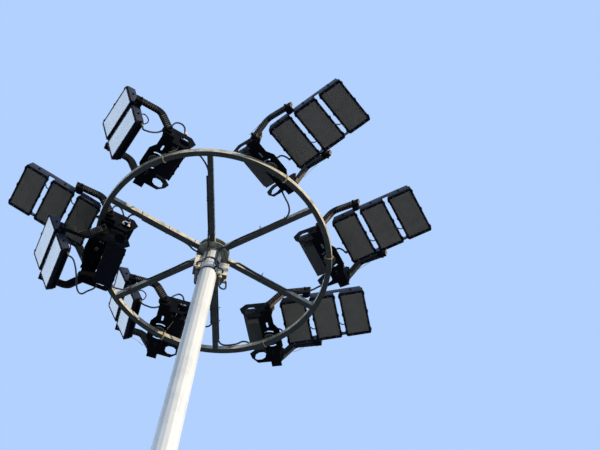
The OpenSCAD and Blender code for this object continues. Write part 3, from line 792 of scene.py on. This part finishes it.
def lamp_modules(light):
    """The lamp modules of a head, in place of its plain ones."""
    places = along_head(light)
    light.on_head("finned_housings", stamped(HOUSING, places), SINK,
                  replaces=[f"modules_{light.number}"])
    light.on_head("frame_screws", stamped(SCREWS, places), STAINLESS)
    light.on_head("optics", stamped(OPTIC_BOARD, places), OPTICS, smooth=50)


def covers(light):
    """The clear cover sheet of each module, in place of its plain lens."""
    bm = bmesh.new()
    front = -LENS_DROP
    for middle in light.middles():
        block(bm, (middle - LENS_W / 2, -LENS_L / 2, front + 1),
              (middle + LENS_W / 2, LENS_L / 2, front + 3.5))
    light.on_head("lens_covers", bm, COVER, replaces=[f"lenses_{light.number}"])


def end_rails(light):
    """The end rails with eased edges; the bosses that reach the arms are black."""
    bm = copied(f"rails_{light.number}")
    across = light.head_place.inverted()
    outside = (MODULE_L / 2 + RAIL_T + 1) * MM
    for face in bm.faces:
        if abs((across @ face.calc_center_median()).y) > outside:
            face.material_index = 1
    finished(f"end_rails_{light.number}", bm, [RAIL, SINK], light.head, edge=1.5,
             replaces=[f"rails_{light.number}"])


def rail_fittings(light):
    """On each end rail: a dark bolt and a seal for each module, and the pivot's bolt."""
    bolts, seals = bmesh.new(), bmesh.new()
    face, half_seal = MODULE_L / 2 + RAIL_T, 104
    for side in (-1, 1):
        for middle in light.middles():
            bolt(bolts, (middle, side * face, -21), (0, side, 0), across=17)
            low, high = sorted((side * (MODULE_L / 2 - 2), side * (face + 1.5)))
            block(seals, (middle - half_seal, low, -LENS_DROP + 24),
                  (middle + half_seal, high, -LENS_DROP + 29))
        bolt(bolts, (0, side * ARM_OUT, 0), (0, side, 0), across=26)
    light.on_head("rail_bolts", bolts, BLACK_BOLT)
    light.on_head("rail_seals", seals, RUBBER)


def jumpers(light):
    """Short cables from each module to the next, near one end."""
    for i, middle in enumerate(light.middles()[:-1]):
        gap = middle + PITCH / 2
        points = [light.at_head(gap + ds, t, n) for ds, t, n in (
            (-24, 108, -10), (-12, 112, -28), (0, 117, -36), (12, 122, -28), (24, 126, -10))]
        cable(f"module_jumper_{light.number}_{i + 1}", points, JUMPER_D, RUBBER, [light.head])


def brackets(light):
    """The bracket's plates with eased edges."""
    finished(f"bracket_plates_{light.number}", copied(f"bracket_{light.number}"), COAT, light.yoke,
             edge=1.2, replaces=[f"bracket_{light.number}"])


def arm_castings(light):
    """The bent arms with eased edges; faces that look outwards take a tan finish as painted sunlight."""
    bm = copied(f"arms_{light.number}")
    turned = light.yoke_place.to_3x3().inverted()
    sunlit_from = SUNLIT_FROM_ON_GREY if light.number in GREY_BOXES else SUNLIT_FROM
    for face in bm.faces:
        # Painted sunlight: faces looking outwards get the tan, further round on the grey-box floodlights
        normal = turned @ face.normal
        if normal.x > sunlit_from:
            face.material_index = 1
    finished(f"arm_castings_{light.number}", bm, [CAST, SUNLIT_ARM_TAN], light.yoke, edge=4,
             replaces=[f"arms_{light.number}"])


def arm_ribs(light):
    """Ribs cast across each arm: slanting ones on its outer face, straight ones on its lower edge. Their
    pale mottling is painted highlight.
    """
    bm = bmesh.new()
    pitch, rib_t, proud, lean = 24, 3, 3, 20
    half = ARM_W / 2
    slope = math.atan2(PIVOT_Z - FOOT_Z, BEND_U - FOOT_U)
    # Each straight run of the arm: where it starts, its slope, then where its ribs start and stop
    runs = [((FOOT_U, FOOT_Z), slope, 34, 186), ((BEND_U, PIVOT_Z), 0.0, 62, 218)]
    for side in (-1, 1):
        for (u0, z0), turn, start, stop in runs:
            ahead = Vector((math.cos(turn), math.sin(turn)))
            over = Vector((-math.sin(turn), math.cos(turn)))
            for i in range(int((stop - start) / pitch) + 1):
                middle = Vector((u0, z0)) + ahead * (start + i * pitch)
                tip = over * (half - 5)
                outline = [middle + tip + ahead * lean, middle + tip + ahead * (lean + rib_t),
                           middle - tip - ahead * (lean - rib_t), middle - tip - ahead * lean]
                slab(bm, [(p.x, side * (ARM_OUT - 1), p.y) for p in outline], (0, side * (proud + 1), 0))
                foot = middle - over * (half - 1) - ahead * lean
                outline = [(foot, ARM_IN + 4), (foot + ahead * rib_t, ARM_IN + 4),
                           (foot + ahead * rib_t, ARM_OUT - 3), (foot, ARM_OUT - 3)]
                slab(bm, [(p.x, side * t, p.y) for p, t in outline],
                     (-over.x * (proud + 1), 0, -over.y * (proud + 1)))
    light.on_yoke("arm_ribs", bm, HIGHLIT_RIB)


def yoke_bolts(light):
    """Bolts at the arms' feet and through the bracket's end plates and tabs."""
    bm = bmesh.new()
    ear_u, ear_z, tab_t = -(EAR_IN + BOX_OUT) / 2, (TRAY_Z + TRAY_TOP) / 2, 288
    for side in (-1, 1):
        bolt(bm, (FOOT_U, side * ARM_OUT, FOOT_Z), (0, side, 0), across=34)
        for du, dz in ((-12, 0), (12, 0), (0, -16.8), (0, 16.8)):
            bolt(bm, (ear_u + du, side * (END_FACE + 0.5), ear_z + dz), (0, side, 0), across=10)
        for u in (-20, 34):
            bolt(bm, (u, side * tab_t, PLATE_Z), (0, 0, -1), across=9)
    light.on_yoke("yoke_bolts", bm, BLACK_BOLT)


def driver_housing(light):
    """The driver box: a ribbed body, a wider tray with a flanged lid on it, and two ears."""
    bm = bmesh.new()
    rib, half_rib, base_pitch, back_pitch = 3, 2, 16, 20
    seam, lid_foot, plate_t = TRAY_TOP - 22, TRAY_TOP - 20, 8
    block(bm, (-BODY_IN + rib, -BODY_HALF + rib, BODY_Z + rib),
          (-BOX_OUT - rib, BODY_HALF - rib, TRAY_Z + 2))
    for u in range(-BODY_IN + 12, -BOX_OUT - 6, base_pitch):
        block(bm, (u - half_rib, -BODY_HALF + 8, BODY_Z), (u + half_rib, BODY_HALF - 8, BODY_Z + rib + 2))
    for t in range(-BODY_HALF + 15, BODY_HALF, back_pitch):
        block(bm, (-BODY_IN, t - half_rib, BODY_Z + 8), (-BODY_IN + rib + 2, t + half_rib, TRAY_Z - 8))
    block(bm, (-TRAY_IN + 4, -TRAY_HALF + 4, TRAY_Z), (-BOX_OUT - 2, TRAY_HALF - 4, seam))
    block(bm, (-TRAY_IN, -TRAY_HALF, seam - 8), (-BOX_OUT, TRAY_HALF, seam))
    block(bm, (-TRAY_IN, -TRAY_HALF, lid_foot), (-BOX_OUT, TRAY_HALF, TRAY_TOP))
    for t in LATCHES.get(light.number, ()):
        block(bm, (-TRAY_IN - 5, t - 8, TRAY_TOP - 34), (-TRAY_IN + 4, t + 8, TRAY_TOP - 16))
    for side in (-1, 1):
        t_low, t_high = sorted((side * (TRAY_HALF - 4), side * (END_FACE - plate_t - 1)))
        block(bm, (-EAR_IN, t_low, TRAY_Z), (-BOX_OUT, t_high, TRAY_Z + plate_t))
        block(bm, (-EAR_IN, t_low, TRAY_TOP - plate_t), (-BOX_OUT, t_high, TRAY_TOP))
        t_low, t_high = sorted((side * (END_FACE - 2 * plate_t), side * (END_FACE - plate_t)))
        block(bm, (-EAR_IN, t_low, TRAY_Z), (-BOX_OUT, t_high, TRAY_TOP))
    light.on_yoke("driver_housing", bm, GEAR_GREY if light.number in GREY_BOXES else SINK,
                  edge=1.5, replaces=[f"driver_box_{light.number}"])


def gland(bm, seat, direction, across, length):
    """A cable gland: a hexagon on its seat, a domed nut and its tapered end."""
    seat, way = Vector(seat), Vector(direction).normalized() * length
    hexagon, nut, tip = (seat + way * share for share in (0.3, 0.7, 1))
    rod(bm, seat, hexagon, across * 0.56, 6)
    rod(bm, hexagon, nut, across * 0.5, 16)
    rod(bm, nut, tip, across * 0.5, 16, across * 0.3)


def head_lead(light):
    """The lead from the head to its driver box, slack enough for the head to tilt."""
    in_head, in_yoke = HEAD_LEADS.get(light.number, LEVEL_LEAD)
    points = [light.at_head(*p) for p in in_head] + [light.at_yoke(*p) for p in in_yoke]
    cable(f"head_lead_{light.number}", points, CABLE_D, RUBBER, [light.head, light.yoke])
    way = Vector(in_head[-1]) - Vector(in_head[0]) if len(in_head) > 1 else Vector((-1, 0, 0))
    bm = bmesh.new()
    gland(bm, in_head[0], way, across=20, length=34)
    light.on_head("head_gland", bm, BRASS)
    bm = bmesh.new()
    gland(bm, in_yoke[-1], Vector(in_yoke[-2]) - Vector(in_yoke[-1]), across=20, length=24)
    light.on_yoke("box_gland", bm, CREAM_NYLON)
    if light.number == LEAD_COUPLER[0]:
        bm = bmesh.new()
        rod(bm, LEAD_COUPLER[1], LEAD_COUPLER[2], 15)
        light.on_yoke("lead_coupler", bm, CREAM_NYLON, edge=3)


def feed_loop(light):
    """The feed's slack loop from its spoke to the driver box."""
    in_ring, in_yoke = FEED_LOOPS[light.number]
    points = [at_hub(*p) for p in in_ring] + [light.at_yoke(*p) for p in in_yoke]
    cable(f"feed_loop_{light.number}", points, CABLE_D, RUBBER, ["mast", light.yoke])
    bm = bmesh.new()
    seat = Vector(in_yoke[-1])
    way = (0, seat.y, 0) if abs(seat.y) > TRAY_HALF - 1 else (seat.x, 0, 0)
    gland(bm, seat, way, across=20, length=24)
    light.on_yoke("feed_gland", bm, CREAM_NYLON)


def gland_shelf(light):
    """A shelf on the driver box's end with the two tall glands that the loops drop into."""
    shelf, tall = bmesh.new(), bmesh.new()
    block(shelf, *GLAND_SHELF[1:3])
    for seat in GLAND_SHELF[3]:
        gland(tall, seat, (0, 0, 1), across=27, length=62)
    light.on_yoke("gland_shelf", shelf, SINK)
    light.on_yoke("shelf_glands", tall, CREAM_NYLON)


def end_loop(light):
    """The short loop over the end rail between the two lamp modules of a small head."""
    rise = 1 if light.side > 0 else HUNG_LOOP_RISE
    points = [light.at_head(s, t, n * rise) for s, t, n in END_LOOP]
    cable(f"end_loop_{light.number}", points, END_LOOP_D, RUBBER, [light.head])


def spare_lead(light):
    """A thin lead that hangs over the bracket's end plate."""
    points = [light.at_yoke(*p) for p in SPARE_LEAD[1]]
    cable(f"spare_lead_{light.number}", points, SPARE_LEAD_D, RUBBER, [light.yoke])


def safety_wire(light):
    """A wire rope wound round the ring and led up to an ear of the driver box."""
    angle, turns, in_yoke = SAFETY_WIRES[light.number]
    corner = (TUBE_HALF + SAFETY_WIRE_D / 2) * math.sqrt(2)
    degrees_a_turn, corners_a_turn = 0.35, 4
    points = []
    for i in range(corners_a_turn * turns + 1):
        turn = math.pi / 2 * i + math.pi / 4
        along = angle + degrees_a_turn * i / corners_a_turn
        points.append(at_ring(along, corner * math.cos(turn), corner * math.sin(turn)))
    points += [light.at_yoke(*p) for p in in_yoke]
    cable(f"safety_wire_{light.number}", points, SAFETY_WIRE_D, WIRE, ["mast", light.yoke],
          sides=2)


def arm_wires(light):
    """Thin wire ropes that span the bends of the arms."""
    for i, (side, points) in enumerate(ARM_WIRES.get(light.number, [])):
        places = [light.at_yoke(u, side * (ARM_OUT + 3), z) for u, z in points]
        cable(f"arm_wire_{light.number}_{i + 1}", places, ARM_WIRE_D, WIRE, [light.yoke], sides=2)


def spoke_ties():
    """Cable ties round the spokes and the cables beside them, with their cut tails."""
    bm = bmesh.new()
    strap, half_tie, half, cable_w = 1.5, 2.5, TUBE_HALF + 0.1, CABLE_D + 0.5
    for spoke, reach, on_left, on_right in TIES:
        turn = Matrix.Rotation(math.radians(SPOKE_TURN + SPOKE_STEP * spoke), 4, "Z")
        left, right = half + cable_w * on_left, half + cable_w * on_right
        verts = []
        for low, high in (((-left, -half - strap), (right, -half)), ((-left, half), (right, half + strap)),
                          ((-left - strap, -half - strap), (-left, half + strap)),
                          ((right, -half - strap), (right + strap, half + strap))):
            verts += block(bm, (reach - half_tie, *low), (reach + half_tie, *high))
        # The tie's lock, then its tail
        verts += block(bm, (reach - 4, -left - 6, 18), (reach + 4, -left, 23))
        verts += rod(bm, (reach, -left - 4, 22), (reach + 3, -left - 9, 40), strap, 6)
        bmesh.ops.transform(bm, matrix=Matrix.Translation((0, 0, RING_Z)) @ turn, verts=verts)
    finished("spoke_cable_ties", bm, RUBBER, "mast")


def junction_boxes():
    """The enamelled boxes under the hub: lid seams, screws, glands, a conduit outlet and a grommet."""
    boxes, screws, collars = bmesh.new(), bmesh.new(), bmesh.new()
    half, lid = BOX_DEPTH / 2, 30
    for x_low, x_high, low, high in (LEFT_BOX, RIGHT_BOX):
        block(boxes, (x_low, -half, low), (x_high, half, high - lid))
        block(boxes, (x_low + 2, -half + 2, high - lid - 1), (x_high - 2, half - 2, high - lid + 4))
        block(boxes, (x_low, -half, high - lid + 3), (x_high, half, high))
        for y in (-half, half):
            for x in (x_low + 12, x_high - 12):
                rod(screws, (x, y, high - 14), (x, y + math.copysign(3, y), high - 14), 4, 10)
    for seat in JUNCTION_GLANDS:
        gland(collars, seat, (0, 0, -1), across=26, length=26)
    place = Matrix.Translation((0, 0, RING_Z))
    finished("junction_covers", boxes, CREAM, "mast", place, edge=3, replaces=["junction_boxes"])
    finished("junction_screws", screws, STAINLESS, "mast", place)
    finished("junction_glands", collars, CREAM_NYLON, "mast", place)
    outlet, cap, grommet = bmesh.new(), bmesh.new(), bmesh.new()
    # The outlet rises from the right box and turns outwards to its cap
    x, y, bend_z = 102, -20, -150
    rod(outlet, (x, y, RIGHT_BOX[3] - 1), (x, y, bend_z), 14)
    rod(outlet, (x - 10, y, bend_z), (x + 10, y, bend_z), 22, 24)
    rod(cap, (x + 10, y, bend_z), (x + 26, y, bend_z), 20, 24, 17)
    # The grommet sits in the pole's left front face
    rod(grommet, (-42, -69, -73), (-47, -77, -73), 19, 24, 16)
    finished("conduit_outlet", outlet, RAIL, "mast", place, edge=2)
    finished("conduit_cap", cap, RUBBER, "mast", place, edge=2)
    finished("cable_entry_grommet", grommet, RUBBER, "mast", place, edge=2)


def feed_cables():
    """The feed cables: along the spokes, under the hub, then down the pole to their junction boxes."""
    ways = []
    for spoke, (x_low, x_high, low, high), lift, run in FEED_RUNS:
        turn = Matrix.Rotation(math.radians(SPOKE_TURN + SPOKE_STEP * spoke), 3, "Z")
        # It stays on the flank of its spoke where it dips, so it comes down beside the pole
        flank = run[-1][1]
        way = [turn @ Vector(point) for point in run]
        way += [turn @ Vector((reach, flank, z)) for reach, z in HUB_DIP]
        foot = way[-1]
        # One that comes down over its box drops into the top, the others enter the front or the back
        if abs(foot.y) < BOX_DEPTH / 2:
            way += [Vector((foot.x, foot.y, high + above)) for above in (20, -2)]
        else:
            front = math.copysign(1, foot.y)
            entry = Vector(((x_low + x_high) / 2, front * BOX_DEPTH / 2, low + ENTRY_RISE + lift))
            bend = foot.lerp(entry, 0.4)
            way += [Vector((foot.x, foot.y, z)) for z in ((foot.z + entry.z) / 2, entry.z + 70)]
            way += [Vector((bend.x, bend.y + front * 16, entry.z + 18)),
                    entry + Vector((0, front * 30, 0)), entry - Vector((0, front * 2, 0))]
        ways.append([at_hub(*point) for point in way])
    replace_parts(cable("supply_cables", ways, CABLE_D, RUBBER, ["mast"]), "feed_cables")


def hub_cables():
    """The drip loops under the junction boxes and the short cable on the pole's front."""
    for name, points in HUB_CABLES.items():
        cable(name, [at_hub(*p) for p in points], CABLE_D, RUBBER, ["mast"])


def structure():
    """The mast, hub, spokes, ring and pads."""
    for node in ("base_flange", "base_gussets", "pole_lower", "service_cover", "pole_upper"):
        coat(node, ZINC)
    for node in ("spokes", "ring", "ring_pads"):
        coat(node, DULL)
    coat("hub", HUB_ZINC)
    coat("pole_straps", RUBBER)


def floor_paint():
    """Matt painted floor: pale to the camera, darker to the lamps so that it lights nothing from below."""
    material, tree = new_finish("matt_floor_paint")[:2]
    seen = add(tree, "BsdfDiffuse", {"Color": "#e3eaf2"})
    dim = add(tree, "BsdfDiffuse", {"Color": "#8f959c"})
    watched = add(tree, "LightPath", out="Is Camera Ray")
    both = add(tree, "MixShader", {FACTOR: watched, FIRST_SHADER: dim, SECOND_SHADER: seen})
    add(tree, "OutputMaterial", {"Surface": both})
    return material


def camera():
    """The photograph's viewpoint, fitted to the ring and the floodlights."""
    stand = (0.741, -12.842, 1.531)
    rise, roll = math.radians(57.59), math.radians(11.134)
    # The fit counts from the middle of the first pixel, so the picture shifts by half a pixel
    focal_px, frame_px, half_px = 2533.4, 600, 0.5
    data = bpy.data.cameras.new("viewpoint")
    data.sensor_width = 36
    data.lens = focal_px / frame_px * data.sensor_width
    data.shift_x = -half_px / frame_px
    data.shift_y = half_px / frame_px
    data.clip_end = 200
    eye = placed("viewpoint", data)
    turn = Matrix.Rotation(math.pi / 2 + rise, 4, "X") @ Matrix.Rotation(roll, 4, "Z")
    eye.matrix_world = Matrix.Translation(stand) @ turn
    bpy.context.scene.camera = eye


def lamp(name, azimuth, height, strength, colour, spread):
    """A distant lamp that shines from an azimuth and a height, in degrees."""
    data = bpy.data.lights.new(name, "SUN")
    data.energy = strength
    data.angle = math.radians(spread)
    data.color = linear(colour)[:3]
    rise, turn = math.radians(height), math.radians(azimuth)
    towards = Vector((math.cos(rise) * math.cos(turn), math.cos(rise) * math.sin(turn), math.sin(rise)))
    placed(name, data).rotation_euler = towards.to_track_quat("Z", "Y").to_euler()


def studio():
    """A pale floor, a pale backdrop and soft light, low from the right as in the photograph."""
    world = bpy.data.worlds.new("pale_backdrop")
    bpy.context.scene.world = world
    world.use_nodes = True
    tree = world.node_tree
    tree.nodes.clear()
    way = add(tree, "TexCoord", out="Generated")
    height = add(tree, "SeparateXYZ", {"Vector": way}, "Z")
    # The soft light comes from above; from below there is an eighth of it
    level = add(tree, "MapRange", {
        "Value": height, "From Min": -0.42, "From Max": 0.35, "To Min": 0.1, "To Max": 0.77})
    soft = add(tree, "Background", {"Color": "#c3d8f5", "Strength": level})
    pale = add(tree, "Background", {"Color": "#b2d1fe", "Strength": 1.0})
    path = add(tree, "LightPath").node.outputs
    seen = add(tree, "Math", {FIRST_VALUE: path["Is Camera Ray"], SECOND_VALUE: path["Is Glossy Ray"]},
               operation="MAXIMUM")
    shown = add(tree, "Math", {FIRST_VALUE: seen, SECOND_VALUE: path["Is Transmission Ray"]},
                operation="MAXIMUM")
    both = add(tree, "MixShader", {FACTOR: shown, FIRST_SHADER: soft, SECOND_SHADER: pale})
    add(tree, "OutputWorld", {"Surface": both})
    lamp("low_key", azimuth=-41, height=18, strength=3.4, colour="#fff1da", spread=2)
    lamp("soft_fill", azimuth=150, height=50, strength=0.5, colour="#dbe8ff", spread=60)
    bm = bmesh.new()
    bmesh.ops.create_circle(bm, cap_ends=True, segments=96, radius=FLOOR_R)
    bmesh.ops.translate(bm, vec=(0, 0, -FLOOR_DROP), verts=bm.verts)
    mesh = meshed("floor", bm)
    mesh.materials.append(floor_paint())
    floor = placed("floor", mesh)


camera()
bpy.context.scene.view_settings.view_transform = "Standard"
studio()
structure()
junction_boxes()
feed_cables()
hub_cables()
spoke_ties()
for light in [Light(k) for k in range(1, LIGHT_COUNT + 1)]:
    lamp_modules(light)
    covers(light)
    end_rails(light)
    rail_fittings(light)
    jumpers(light)
    brackets(light)
    arm_castings(light)
    arm_ribs(light)
    yoke_bolts(light)
    driver_housing(light)
    head_lead(light)
    feed_loop(light)
    if light.modules == 2:
        end_loop(light)
    if light.number in SAFETY_WIRES:
        safety_wire(light)
    arm_wires(light)
    if light.number == GLAND_SHELF[0]:
        gland_shelf(light)
    if light.number == SPARE_LEAD[0]:
        spare_lead(light)
